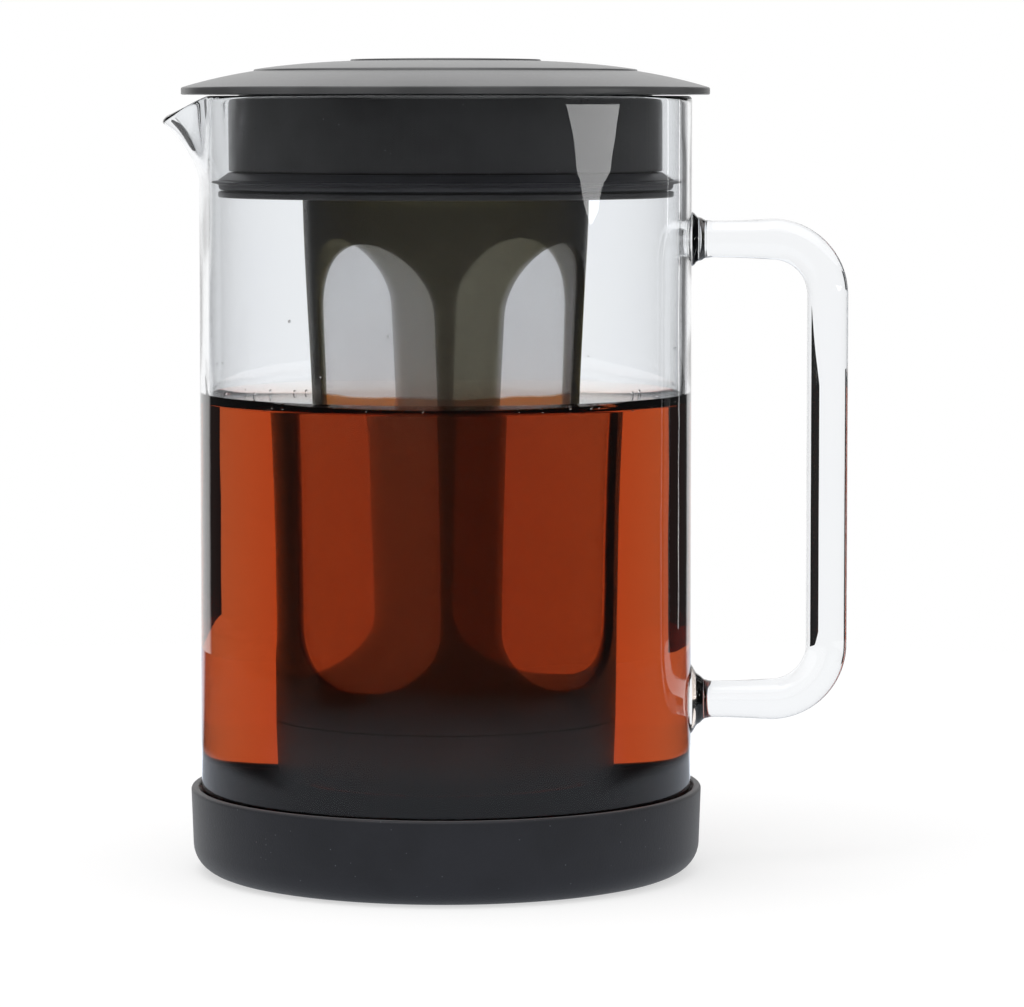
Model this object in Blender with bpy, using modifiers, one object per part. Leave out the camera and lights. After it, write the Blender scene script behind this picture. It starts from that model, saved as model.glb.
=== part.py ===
"""Cold brew coffee maker: a glass carafe in a soft boot, with a plug lid and a mesh filter.

Metres, +Z up. The origin is on the carafe's axis, on the face that the boot stands on.
The spout points along -X and the handle along +X. Turned pieces share that axis.
"""
import math

import bmesh
import bpy

# Fits
fit_gap = 0.0003            # between two pieces that seat in or on each other
cut_overrun = 0.0020        # how far a cutter runs past what it cuts

# Boot, a soft cup that the carafe is pushed into
boot_wall = 0.0021
boot_floor = 0.0022
boot_height = 0.0192
boot_draw = 0.0007          # how much narrower the outside is at the foot
boot_foot_rounding = 0.0065
boot_lip_rounding = 0.0005

# Carafe, one piece of turned glass
carafe_radius = 0.0557
carafe_wall = 0.0022
carafe_floor = 0.0035
carafe_height = 0.1732
carafe_foot_rounding = 0.0062
carafe_inner_rounding = 0.0045
carafe_rim_rounding = 0.0008

# Spout, drawn out of the rim
spout_reach = 0.0094        # how far the lip stands out of the wall
spout_drop = 0.0042         # how far the lip lies below the rim
spout_tilt = math.radians(50)
spout_depth = 0.0190        # rim to where the wall starts to swell
spout_half_width = 0.0170   # along the rim, from the middle to where the swell ends
spout_flare_share = 1.35    # power of the swell with height
spout_sag_share = 2.4       # power of the lip's drop with height

# Handle, a bent glass rod with a flared foot at each end
handle_grip_radius = 0.00465
handle_arm_radius = 0.00415
handle_reach = 0.0309       # carafe wall to the grip's centreline
handle_bend_radius = 0.0127
handle_drop = 0.0323        # rim to the upper arm's centreline
handle_rise = 0.0361        # carafe's foot to the lower arm's centreline
handle_upper_foot_radius = 0.0062
handle_lower_foot_radius = 0.0080
handle_foot_length = 0.0048
handle_foot_share = 2.0     # power of the flare along the foot

# Lid top, a low dome in three tiers
lid_overhang = 0.0040       # how far the disc stands out past the carafe's wall
lid_edge_height = 0.0016
lid_dome_rise = 0.00590
lid_dome_share = 3.1        # power of the dome's fall towards the edge
lid_tier_step = 0.00035
lid_outer_tier_inset = 0.0164
lid_inner_tier_inset = 0.0382
lid_skin = 0.0018
lid_spigot_length = 0.0050
lid_spigot_wall = 0.0016

# Lid plug, the hollow skirt under the lid, with a groove for the seal and a socket for the filter
plug_gap = 0.0045           # between the plug's skirt and the glass
plug_wall = 0.0020
plug_depth = 0.0230         # underside of the lid's disc to underside of the plug
plug_flange_gap = 0.0020    # between the plug's flange and the glass
plug_flange_height = 0.0013
plug_floor = 0.0016
plug_top_chamfer = 0.0010
groove_height = 0.0045
groove_depth = 0.0024
socket_shelf = 0.0014       # the ledge that the filter's lugs turn over
socket_height = 0.0076      # underside of the plug to the socket's roof
socket_wall = 0.0016
socket_roof = 0.0016

# Lugs, the bayonet between filter and lid
lug_count = 3
lug_reach = 0.0018
lug_width = 0.0080
lug_height = 0.0020
lug_root = 0.0009           # how deep a lug is sunk in the collar's wall
lug_clearance = 0.0004
lug_turn = math.radians(20)

# Seal, a soft ring with one thin lip that wipes the glass
seal_body_gap = 0.0021      # between the seal's body and the glass
seal_shoulder_drop = 0.0016
seal_foot_rounding = 0.0009
seal_lip_height = 0.0013    # from the seal's underside to the underside of its lip
seal_lip_thickness = 0.0008

# Filter frame, a tapered tube with four windows
frame_wall = 0.0018
filter_side_gap = 0.0211    # between the filter's collar and the glass
filter_foot_gap = 0.0150    # between the filter's cap and the carafe's floor
frame_taper = 0.0034        # how much narrower the foot is than the collar
frame_collar_length = 0.0080
frame_neck_length = 0.0480  # below the collar, over which most of the taper falls
frame_neck_share = 1.5      # power of the taper's fall
window_count = 4
window_top_drop = 0.0173    # top of the collar to the crown of a window
window_foot_rise = 0.0086   # foot of the frame to the foot of a window
window_corner_radius = 0.0140
rib_width = 0.0132
rib_turn = math.radians(-79.4)

# Filter mesh, a woven sleeve inside the frame
mesh_thickness = 0.0004
mesh_top_drop = 0.0100      # top of the collar to the sleeve's upper edge

# Filter cap, the twist-off bottom of the filter
cap_height = 0.0137
cap_draw = 0.0004
cap_floor = 0.0018
cap_foot_rounding = 0.0035
cap_spigot_length = 0.0043
cap_spigot_wall = 0.0016

# Facets
turned_steps = 48
carafe_steps = 96
corner_steps = 4
arch_steps = 8
lip_steps = 2
spout_rows = 4
dome_rows = 3
frame_rows = 7
bend_steps = 7
foot_steps = 4
rod_bevel_resolution = 5
merge_distance = 0.00002

# Radii inside the carafe's mouth
carafe_inner_radius = carafe_radius - carafe_wall
lid_radius = carafe_radius + lid_overhang
plug_radius = carafe_inner_radius - plug_gap
plug_flange_radius = carafe_inner_radius - plug_flange_gap
seal_body_radius = carafe_inner_radius - seal_body_gap
frame_collar_radius = carafe_inner_radius - filter_side_gap
frame_foot_radius = frame_collar_radius - frame_taper

# Heights of the seats
carafe_seat = boot_floor + fit_gap
lid_seat = carafe_seat + carafe_height + fit_gap
plug_underside = lid_seat - plug_depth
filter_top = plug_underside + socket_height - fit_gap
cap_seat = carafe_seat + carafe_floor + filter_foot_gap + cap_height
frame_length = filter_top - cap_seat - fit_gap


def clear_scene():
    """Remove whatever the scene holds."""
    for old in list(bpy.data.objects):
        bpy.data.objects.remove(old, do_unlink=True)


def make_collection(name):
    """Add a collection to the scene."""
    collection = bpy.data.collections.new(name)
    bpy.context.scene.collection.children.link(collection)
    return collection


def make_material(name, colour, roughness, metallic=0.0, transmission=0.0, alpha=1.0):
    """Make a Principled material."""
    material = bpy.data.materials.new(name)
    material.use_nodes = True
    shader = material.node_tree.nodes["Principled BSDF"]
    shader.inputs["Base Color"].default_value = (*colour, 1.0)
    shader.inputs["Roughness"].default_value = roughness
    shader.inputs["Metallic"].default_value = metallic
    shader.inputs["Transmission Weight"].default_value = transmission
    shader.inputs["Alpha"].default_value = alpha
    material.diffuse_color = (*colour, alpha)
    return material


def add_object(name, mesh, collection, material=None, parent=None):
    """Put a mesh in a collection as a named object."""
    piece = bpy.data.objects.new(name, mesh)
    collection.objects.link(piece)
    if material:
        mesh.materials.append(material)
    piece.parent = parent
    return piece


def add_empty(name, height, collection, parent=None, parent_height=0.0):
    """Place an empty on the axis, as the carrier of the pieces that move together."""
    carrier = bpy.data.objects.new(name, None)
    collection.objects.link(carrier)
    carrier.empty_display_size = carafe_radius
    carrier.parent = parent
    carrier.location = (0, 0, height - parent_height)
    return carrier


def finish_shading(mesh):
    """Shade a mesh smooth but keep its true edges."""
    mesh.shade_smooth()
    mesh.set_sharp_from_angle(angle=math.radians(35))


def arc(centre, radius, start, end, steps):
    """Points on an arc, from one angle in degrees to another, both ends included."""
    points = []
    for step in range(steps + 1):
        angle = math.radians(start + (end - start) * step / steps)
        points.append((centre[0] + radius * math.cos(angle), centre[1] + radius * math.sin(angle)))
    return points


def turned_mesh(name, outline, steps, closed):
    """Turn an outline of (radius, height) points about Z with a Screw modifier."""
    mesh = bpy.data.meshes.new(name)
    shape = bmesh.new()
    corners = [shape.verts.new((radius, 0, height)) for radius, height in outline]
    for first, second in zip(corners, corners[1:]):
        shape.edges.new((first, second))
    if closed:
        shape.edges.new((corners[-1], corners[0]))
    shape.to_mesh(mesh)
    shape.free()
    blank = bpy.data.objects.new(name + "_outline", mesh)
    bpy.context.scene.collection.objects.link(blank)
    screw = blank.modifiers.new("turn", "SCREW")
    screw.axis = "Z"
    screw.steps = steps
    screw.render_steps = steps
    screw.use_merge_vertices = True
    screw.merge_threshold = merge_distance
    screw.use_smooth_shade = True
    turned = evaluated_mesh(blank)
    turned.name = name
    bpy.data.objects.remove(blank, do_unlink=True)
    finish_shading(turned)
    return turned


def evaluated_mesh(source):
    """Read an object as a plain mesh, with its modifiers or bevel applied and its doubles welded."""
    graph = bpy.context.evaluated_depsgraph_get()
    graph.update()
    mesh = bpy.data.meshes.new_from_object(source.evaluated_get(graph))
    shape = bmesh.new()
    shape.from_mesh(mesh)
    bmesh.ops.remove_doubles(shape, verts=shape.verts, dist=merge_distance)
    shape.to_mesh(mesh)
    shape.free()
    return mesh


def add_boolean(piece, tool, operation):
    """Cut a piece by a tool, or join the tool to it."""
    modifier = piece.modifiers.new(operation.lower() + "_" + tool.name, "BOOLEAN")
    modifier.operation = operation
    modifier.object = tool
    modifier.solver = "EXACT"


def make_tool(name, mesh, collection, parent=None):
    """Make an object that only cuts or joins others."""
    tool = add_object(name, mesh, collection, parent=parent)
    tool.hide_render = True
    tool.display_type = "WIRE"
    return tool


def block_mesh(name, size):
    """Make a box centred on its origin."""
    mesh = bpy.data.meshes.new(name)
    shape = bmesh.new()
    bmesh.ops.create_cube(shape, size=1)
    bmesh.ops.scale(shape, vec=size, verts=shape.verts)
    shape.to_mesh(mesh)
    shape.free()
    return mesh


def make_boot(collection, material):
    """Turn the boot: a flat floor, a rounded foot and a thin wall that the carafe fills."""
    inner = carafe_radius + fit_gap
    outer = inner + boot_wall
    foot = outer - boot_draw
    inner_rounding = carafe_foot_rounding
    outline = [(0, boot_floor), (inner - inner_rounding, boot_floor)]
    inner_centre = (inner - inner_rounding, boot_floor + inner_rounding)
    lip_centre = (outer - boot_lip_rounding, boot_height - boot_lip_rounding)
    foot_centre = (foot - boot_foot_rounding, boot_foot_rounding)
    outline += arc(inner_centre, inner_rounding, -90, 0, corner_steps)[1:]
    outline.append((inner, boot_height))
    outline += arc(lip_centre, boot_lip_rounding, 90, 0, lip_steps)
    outline += arc(foot_centre, boot_foot_rounding, 0, -90, corner_steps)
    outline.append((0, 0))
    mesh = turned_mesh("boot", outline, turned_steps, closed=False)
    return add_object("boot", mesh, collection, material)


def draw_spout(mesh):
    """Swell the wall outwards and downwards at -X, more towards the rim, and tilt it with the swell."""
    half_angle = spout_half_width / carafe_radius
    root = carafe_height - spout_depth
    for vertex in mesh.vertices:
        radius = math.hypot(vertex.co.x, vertex.co.y)
        height = (vertex.co.z - root) / spout_depth
        off_middle = abs(math.atan2(vertex.co.y, -vertex.co.x)) / half_angle
        if height <= 0 or off_middle >= 1:
            continue
        across = 0.5 + 0.5 * math.cos(math.pi * off_middle)
        tilt = spout_tilt * across * height
        in_wall = radius - carafe_inner_radius
        outward = spout_reach * across * height ** spout_flare_share - in_wall * (1 - math.cos(tilt))
        vertex.co.x *= (radius + outward) / radius
        vertex.co.y *= (radius + outward) / radius
        vertex.co.z -= spout_drop * across * height ** spout_sag_share + in_wall * math.sin(tilt)


def make_carafe(collection, material, carrier):
    """Turn the glass as a closed wall, then draw its spout."""
    inner = carafe_inner_radius
    root = carafe_height - spout_depth
    row_heights = [root + spout_depth * row / spout_rows for row in range(spout_rows)]
    rim_middle = carafe_height - carafe_rim_rounding
    outline = [(0, carafe_floor), (inner - carafe_inner_rounding, carafe_floor)]
    centre = (inner - carafe_inner_rounding, carafe_floor + carafe_inner_rounding)
    outline += arc(centre, carafe_inner_rounding, -90, 0, corner_steps - 1)[1:]
    outline += [(inner, height) for height in row_heights]
    outline += arc((inner + carafe_rim_rounding, rim_middle), carafe_rim_rounding, 180, 90, 1)
    outline += arc((carafe_radius - carafe_rim_rounding, rim_middle), carafe_rim_rounding, 90, 0, 1)
    outline += [(carafe_radius, height) for height in reversed(row_heights)]
    centre = (carafe_radius - carafe_foot_rounding, carafe_foot_rounding)
    outline += arc(centre, carafe_foot_rounding, 0, -90, corner_steps)
    outline.append((0, 0))
    mesh = turned_mesh("carafe", outline, carafe_steps, closed=False)
    draw_spout(mesh)
    return add_object("carafe", mesh, collection, material, carrier)


def foot_points(foot_radius, height, outwards):
    """Points and radii of one flared foot, from inside the carafe's wall to the plain arm."""
    sunk = carafe_wall + fit_gap
    length = sunk + handle_foot_length
    start = carafe_radius + fit_gap - sunk
    points = []
    for step in range(foot_steps + 1):
        share = step / foot_steps
        along = max(0, (share * length - sunk) / handle_foot_length)
        radius = handle_arm_radius + (foot_radius - handle_arm_radius) * (1 - along) ** handle_foot_share
        points.append(((start + share * length, height), radius))
    return points if outwards else list(reversed(points))


def bend_points(centre, start, end):
    """Points and radii of one bend, where the rod is as thick as the grip."""
    bend = arc(centre, handle_bend_radius, start, end, bend_steps)
    return [(point, handle_grip_radius) for point in bend]


def make_handle(collection, tools, material, carrier):
    """Bend the rod as one curve, then cut both of its feet to the carafe's wall."""
    upper = carafe_height - handle_drop
    lower = handle_rise
    grip = carafe_radius + handle_reach
    bend = grip - handle_bend_radius
    route = foot_points(handle_upper_foot_radius, upper, outwards=True)
    route += bend_points((bend, upper - handle_bend_radius), 90, 0)
    route += bend_points((bend, lower + handle_bend_radius), 0, -90)
    route += foot_points(handle_lower_foot_radius, lower, outwards=False)

    curve = bpy.data.curves.new("carafe_handle", "CURVE")
    curve.dimensions = "3D"
    curve.bevel_depth = handle_grip_radius
    curve.bevel_resolution = rod_bevel_resolution
    curve.use_fill_caps = True
    spline = curve.splines.new("POLY")
    spline.points.add(len(route) - 1)
    for point, ((along, height), radius) in zip(spline.points, route):
        point.co = (along, 0, height, 1)
        point.radius = radius / handle_grip_radius
    rod = bpy.data.objects.new("rod", curve)
    collection.objects.link(rod)
    mesh = evaluated_mesh(rod)
    mesh.name = "carafe_handle"
    bpy.data.objects.remove(rod, do_unlink=True)
    finish_shading(mesh)
    handle = add_object("carafe_handle", mesh, collection, material, carrier)

    core_radius = carafe_radius + fit_gap
    core = [(0, carafe_height), (core_radius, carafe_height), (core_radius, 0), (0, 0)]
    core_mesh = turned_mesh("carafe_core", core, carafe_steps, closed=False)
    add_boolean(handle, make_tool("carafe_core", core_mesh, tools, carrier), "DIFFERENCE")
    return handle


def dome_height(radius):
    """Height of the lid's dome above its edge, before the tiers are added."""
    return lid_dome_rise * (1 - (radius / lid_radius) ** lid_dome_share)


def make_lid_top(collection, material, carrier):
    """Turn the lid's dome in three tiers, hollow underneath, with a spigot for the plug."""
    inner_tier = lid_radius - lid_inner_tier_inset
    outer_tier = lid_radius - lid_outer_tier_inset
    tiers = [(0, inner_tier, 2 * lid_tier_step)]
    tiers.append((inner_tier, outer_tier, lid_tier_step))
    tiers.append((outer_tier, lid_radius, 0))
    outline = []
    for start, end, step_height in tiers:
        for row in range(dome_rows + 1):
            radius = start + (end - start) * row / dome_rows
            outline.append((radius, lid_edge_height + dome_height(radius) + step_height))
    spigot_outer = plug_radius - plug_wall - fit_gap
    spigot_inner = spigot_outer - lid_spigot_wall
    outline.append((lid_radius, 0))
    outline.append((spigot_outer, 0))
    outline.append((spigot_outer, -lid_spigot_length))
    outline.append((spigot_inner, -lid_spigot_length))
    for row in range(dome_rows + 1):
        radius = spigot_inner * (1 - row / dome_rows)
        outline.append((radius, lid_edge_height + dome_height(radius) - lid_skin))
    mesh = turned_mesh("lid_top", outline, turned_steps, closed=False)
    return add_object("lid_top", mesh, collection, material, carrier)


def make_lid_plug(collection, tools, material, carrier):
    """Turn the plug: skirt, seal groove, flange, floor and the roofed socket for the filter."""
    bottom = -plug_depth
    skirt_inner = plug_radius - plug_wall
    groove_root = plug_radius - groove_depth
    core_inner = groove_root - plug_wall
    flange_top = bottom + plug_flange_height
    groove_top = flange_top + groove_height
    step_top = groove_top + plug_wall
    bore = frame_collar_radius + fit_gap
    socket_inner = bore + lug_reach + lug_clearance
    socket_outer = socket_inner + socket_wall
    roof = bottom + socket_height
    outline = [
        (0, roof + socket_roof),
        (socket_outer, roof + socket_roof),
        (socket_outer, bottom + plug_floor),
        (core_inner, bottom + plug_floor),
        (core_inner, step_top),
        (skirt_inner, step_top + plug_wall),
        (skirt_inner, -fit_gap),
        (plug_radius - plug_top_chamfer, -fit_gap),
        (plug_radius, -fit_gap - plug_top_chamfer),
        (plug_radius, groove_top),
        (groove_root, groove_top),
        (groove_root, flange_top),
        (plug_flange_radius, flange_top),
        (plug_flange_radius, bottom),
        (bore, bottom),
        (bore, bottom + socket_shelf),
        (socket_inner, bottom + socket_shelf),
        (socket_inner, roof),
        (0, roof),
    ]
    mesh = turned_mesh("lid_plug", outline, turned_steps, closed=False)
    plug = add_object("lid_plug", mesh, collection, material, carrier)
    notch_low = bore - cut_overrun
    notch_size = (socket_inner - notch_low, lug_width + 2 * lug_clearance, socket_shelf + 2 * cut_overrun)
    for number, angle in enumerate(lug_angles()):
        notch = make_tool(f"lid_notch_{number + 1}", block_mesh("lid_notch", notch_size), tools, carrier)
        middle = (notch_low + socket_inner) / 2
        notch.location = (middle * math.cos(angle), middle * math.sin(angle), bottom + socket_shelf / 2)
        notch.rotation_euler.z = angle
        add_boolean(plug, notch, "DIFFERENCE")
    return plug


def lug_angles():
    """Directions of the bayonet's lugs about the axis."""
    return [lug_turn + 2 * math.pi * number / lug_count for number in range(lug_count)]


def make_lid_seal(collection, material, carrier):
    """Turn the seal as a closed ring with a sloping shoulder and one thin lip."""
    low = -plug_depth + plug_flange_height + fit_gap
    high = low + groove_height - 2 * fit_gap
    inner = plug_radius - groove_depth + fit_gap
    shoulder = high - seal_shoulder_drop
    lip_low = low + seal_lip_height
    lip_high = lip_low + seal_lip_thickness
    lip_radius = carafe_inner_radius - fit_gap
    outline = [
        (inner, high),
        (plug_radius, high),
        (seal_body_radius, shoulder),
        (seal_body_radius, lip_high),
        (lip_radius, lip_high),
        (lip_radius, lip_low + seal_lip_thickness / 2),
        (seal_body_radius, lip_low),
    ]
    centre = (seal_body_radius - seal_foot_rounding, low + seal_foot_rounding)
    outline += arc(centre, seal_foot_rounding, 0, -90, lip_steps)
    outline.append((inner, low))
    mesh = turned_mesh("lid_seal", outline, turned_steps, closed=True)
    return add_object("lid_seal", mesh, collection, material, carrier)


def frame_radius(drop):
    """Outer radius of the filter frame at a distance below the top of its collar."""
    fallen = frame_fall(drop) / frame_fall(frame_length)
    return frame_collar_radius + (frame_foot_radius - frame_collar_radius) * fallen


def frame_fall(drop):
    """How far the taper has fallen at a distance below the top of the collar, from 0 towards 1."""
    below = max(0, drop - frame_collar_length) / frame_neck_length
    return 1 - math.exp(-below ** frame_neck_share)


def frame_drops(start, end):
    """Distances below the collar's top at which the taper has a row."""
    return [start + (end - start) * row / frame_rows for row in range(frame_rows + 1)]


def window_outline():
    """Outline of a window as (across, height) points: an arch on top and round corners below."""
    middle_drop = (window_top_drop + frame_length - window_foot_rise) / 2
    radius = frame_radius(middle_drop)
    half_angle = math.pi / window_count - rib_width / (2 * radius)
    half_width = radius * math.sin(half_angle)
    corner = min(window_corner_radius, half_width)
    low = window_foot_rise - frame_length
    spring = -window_top_drop - half_width
    outline = arc((0, spring), half_width, 0, 180, 2 * arch_steps)
    outline += arc((corner - half_width, low + corner), corner, 180, 270, arch_steps)
    outline += arc((half_width - corner, low + corner), corner, 270, 360, arch_steps)
    return outline


def window_mesh():
    """Make a window's cutter from a filled flat curve, which reaches through the frame's wall."""
    outline = window_outline()
    curve = bpy.data.curves.new("window", "CURVE")
    curve.dimensions = "2D"
    curve.fill_mode = "BOTH"
    curve.extrude = frame_collar_radius / 2
    spline = curve.splines.new("POLY")
    spline.points.add(len(outline) - 1)
    for point, (across, height) in zip(spline.points, outline):
        point.co = (across, height, 0, 1)
    spline.use_cyclic_u = True
    flat = bpy.data.objects.new("window_curve", curve)
    bpy.context.scene.collection.objects.link(flat)
    mesh = evaluated_mesh(flat)
    bpy.data.objects.remove(flat, do_unlink=True)
    return mesh


def make_filter_frame(collection, tools, material, carrier):
    """Turn the frame, add the bayonet's lugs to its collar and cut its windows."""
    drops = [0] + frame_drops(frame_collar_length, frame_length)
    outline = [(frame_radius(drop), -drop) for drop in drops]
    outline += [(frame_radius(drop) - frame_wall, -drop) for drop in reversed(drops)]
    mesh = turned_mesh("filter_frame", outline, turned_steps, closed=True)
    frame = add_object("filter_frame", mesh, collection, material, carrier)

    lug_low = socket_shelf + lug_clearance - socket_height + fit_gap
    lug_size = (lug_reach + lug_root, lug_width, lug_height)
    for number, angle in enumerate(lug_angles()):
        lug = make_tool(f"filter_lug_{number + 1}", block_mesh("filter_lug", lug_size), tools, carrier)
        middle = frame_collar_radius + (lug_reach - lug_root) / 2 - lug_sagitta()
        lug.location = (middle * math.cos(angle), middle * math.sin(angle), lug_low + lug_height / 2)
        lug.rotation_euler.z = angle
        add_boolean(frame, lug, "UNION")

    cutter = window_mesh()
    for number in range(window_count):
        angle = rib_turn + 2 * math.pi * (number + 0.5) / window_count
        window = make_tool(f"filter_window_{number + 1}", cutter, tools, carrier)
        middle = frame_collar_radius
        window.location = (middle * math.cos(angle), middle * math.sin(angle), 0)
        window.rotation_euler = (math.pi / 2, 0, angle + math.pi / 2)
        add_boolean(frame, window, "DIFFERENCE")
    return frame


def lug_sagitta():
    """How far a lug's flat face is drawn in, so that its corners keep to the lug's reach."""
    outer = frame_collar_radius + lug_reach
    return outer - math.sqrt(outer ** 2 - (lug_width / 2) ** 2)


def make_filter_mesh(collection, material, carrier):
    """Turn the woven sleeve, which follows the inside of the frame and stands on the cap."""
    drops = frame_drops(frame_collar_length, frame_length)[1:-1]
    drops = [mesh_top_drop] + drops + [frame_length - cap_spigot_length]
    outer = [(frame_radius(drop) - frame_wall - fit_gap, -drop) for drop in drops]
    inner = [(radius - mesh_thickness, height) for radius, height in reversed(outer)]
    mesh = turned_mesh("filter_mesh", outer + inner, turned_steps, closed=True)
    return add_object("filter_mesh", mesh, collection, material, carrier)


def make_filter_cap(collection, material, carrier):
    """Turn the cap: a shallow cup whose spigot plugs into the foot of the frame."""
    spigot_outer = frame_foot_radius - frame_wall - fit_gap
    spigot_inner = spigot_outer - cap_spigot_wall
    foot = frame_foot_radius - cap_draw
    floor = -cap_height + cap_floor
    outline = [
        (0, floor),
        (spigot_inner, floor),
        (spigot_inner, cap_spigot_length),
        (spigot_outer, cap_spigot_length),
        (spigot_outer, 0),
        (frame_foot_radius, 0),
    ]
    centre = (foot - cap_foot_rounding, cap_foot_rounding - cap_height)
    outline += arc(centre, cap_foot_rounding, 0, -90, corner_steps)
    outline.append((0, -cap_height))
    mesh = turned_mesh("filter_cap", outline, turned_steps, closed=False)
    return add_object("filter_cap", mesh, collection, material, carrier)


def build():
    """Make every piece, each under the empty that carries it."""
    clear_scene()
    parts = make_collection("cold_brew_coffee_maker")
    tools = make_collection("tools")

    glass = make_material("clear_glass", (0.92, 0.95, 0.97), 0.02, transmission=1.0)
    rubber = make_material("boot_silicone", (0.036, 0.040, 0.047), 0.62)
    lid_grey = make_material("lid_plastic", (0.09, 0.09, 0.095), 0.38)
    plug_dark = make_material("plug_plastic", (0.034, 0.034, 0.037), 0.35)
    seal_black = make_material("seal_silicone", (0.020, 0.020, 0.026), 0.50)
    smoke = make_material("smoke_plastic", (0.075, 0.066, 0.045), 0.28, transmission=0.4)
    weave = make_material("filter_weave", (0.52, 0.56, 0.62), 0.55, alpha=0.6)

    carafe_carrier = add_empty("carafe_carrier", carafe_seat, parts)
    filter_carrier = add_empty("filter_carrier", filter_top, parts, carafe_carrier, carafe_seat)
    cap_carrier = add_empty("cap_carrier", cap_seat, parts, filter_carrier, filter_top)
    lid_carrier = add_empty("lid_carrier", lid_seat, parts, filter_carrier, filter_top)

    make_boot(parts, rubber)
    make_carafe(parts, glass, carafe_carrier)
    make_handle(parts, tools, glass, carafe_carrier)
    make_filter_frame(parts, tools, smoke, filter_carrier)
    make_filter_mesh(parts, weave, filter_carrier)
    make_filter_cap(parts, smoke, cap_carrier)
    make_lid_seal(parts, seal_black, lid_carrier)
    make_lid_plug(parts, tools, plug_dark, lid_carrier)
    make_lid_top(parts, lid_grey, lid_carrier)
    bpy.context.view_layer.update()


build()
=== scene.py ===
"""Looks of a cold brew coffee maker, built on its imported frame.

Metres, +Z up. The jug's axis is the Z axis, the spout points along -X and the handle along +X.
"""

import logging
import math
from dataclasses import dataclass
from enum import Enum
from functools import cache
from typing import Any, Sequence

import bmesh
import bpy
import numpy as np
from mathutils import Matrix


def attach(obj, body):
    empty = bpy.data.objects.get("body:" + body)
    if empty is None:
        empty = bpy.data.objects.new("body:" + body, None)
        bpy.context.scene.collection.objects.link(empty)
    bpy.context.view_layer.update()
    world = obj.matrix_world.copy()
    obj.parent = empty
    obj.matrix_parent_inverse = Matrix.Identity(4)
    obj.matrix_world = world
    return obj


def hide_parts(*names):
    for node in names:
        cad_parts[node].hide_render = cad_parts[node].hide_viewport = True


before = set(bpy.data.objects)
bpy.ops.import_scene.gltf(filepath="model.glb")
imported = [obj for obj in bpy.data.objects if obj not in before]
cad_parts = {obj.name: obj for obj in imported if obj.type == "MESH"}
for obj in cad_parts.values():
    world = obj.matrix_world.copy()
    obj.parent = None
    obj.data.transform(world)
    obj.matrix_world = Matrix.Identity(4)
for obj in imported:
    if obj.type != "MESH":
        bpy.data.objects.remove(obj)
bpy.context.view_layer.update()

Point = tuple[float, float]
Corner = tuple[float, float, float]
Colour = tuple[float, float, float]

TURN = 2 * math.pi
FIT_GAP = 0.0003
GLASS_INDEX = 1.49
WATER_INDEX = 1.33
SHARP_ANGLE = math.radians(35)
WELD_DISTANCE = 0.00001
LUG_COUNT = 3
LUG_TURN = math.radians(20)
WHITE = (1.0, 1.0, 1.0, 1.0)


class Body(Enum):
    """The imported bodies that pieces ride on."""

    BOOT = "boot"
    CARAFE = "carafe"
    FILTER = "filter"
    CAP = "filter_cap"
    SEAL = "lid_seal"
    LID = "lid"


class Seen(Enum):
    """Which rays meet a panel of the studio."""

    IN_REFLECTIONS = "glossy"
    THROUGH_GLASS = "transmission"


class Value:
    """A shader socket that takes part in Python expressions."""

    def __init__(self, graph: "Graph", socket: bpy.types.NodeSocket) -> None:
        """Wrap a socket of a graph."""
        self.graph = graph
        self.socket = socket

    def maths(self, operation: str, *others: "Value | float") -> "Value":
        """Add a Math node with this as its first operand."""
        return self.graph.maths(operation, self, *others)

    def __add__(self, other: "Value | float") -> "Value":
        """Sum."""
        return self.maths("ADD", other)

    def __radd__(self, other: float) -> "Value":
        """Sum with a number on the left."""
        return self.maths("ADD", other)

    def __sub__(self, other: "Value | float") -> "Value":
        """Difference."""
        return self.maths("SUBTRACT", other)

    def __rsub__(self, other: float) -> "Value":
        """Difference from a number."""
        return self.graph.maths("SUBTRACT", other, self)

    def __mul__(self, other: "Value | float") -> "Value":
        """Product."""
        return self.maths("MULTIPLY", other)

    def __rmul__(self, other: float) -> "Value":
        """Product with a number on the left."""
        return self.maths("MULTIPLY", other)

    def __pow__(self, other: float) -> "Value":
        """Power."""
        return self.maths("POWER", other)

    def __neg__(self) -> "Value":
        """Opposite."""
        return self.maths("MULTIPLY", -1.0)

    def step(self, low: float, high: float) -> "Value":
        """Rise smoothly from 0 at one value to 1 at another, which may be the lower one."""
        inputs = {0: self, 1: low, 2: high, 3: 0.0, 4: 1.0}
        return self.graph.node("ShaderNodeMapRange", {"interpolation_type": "SMOOTHSTEP"}, inputs)


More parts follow.
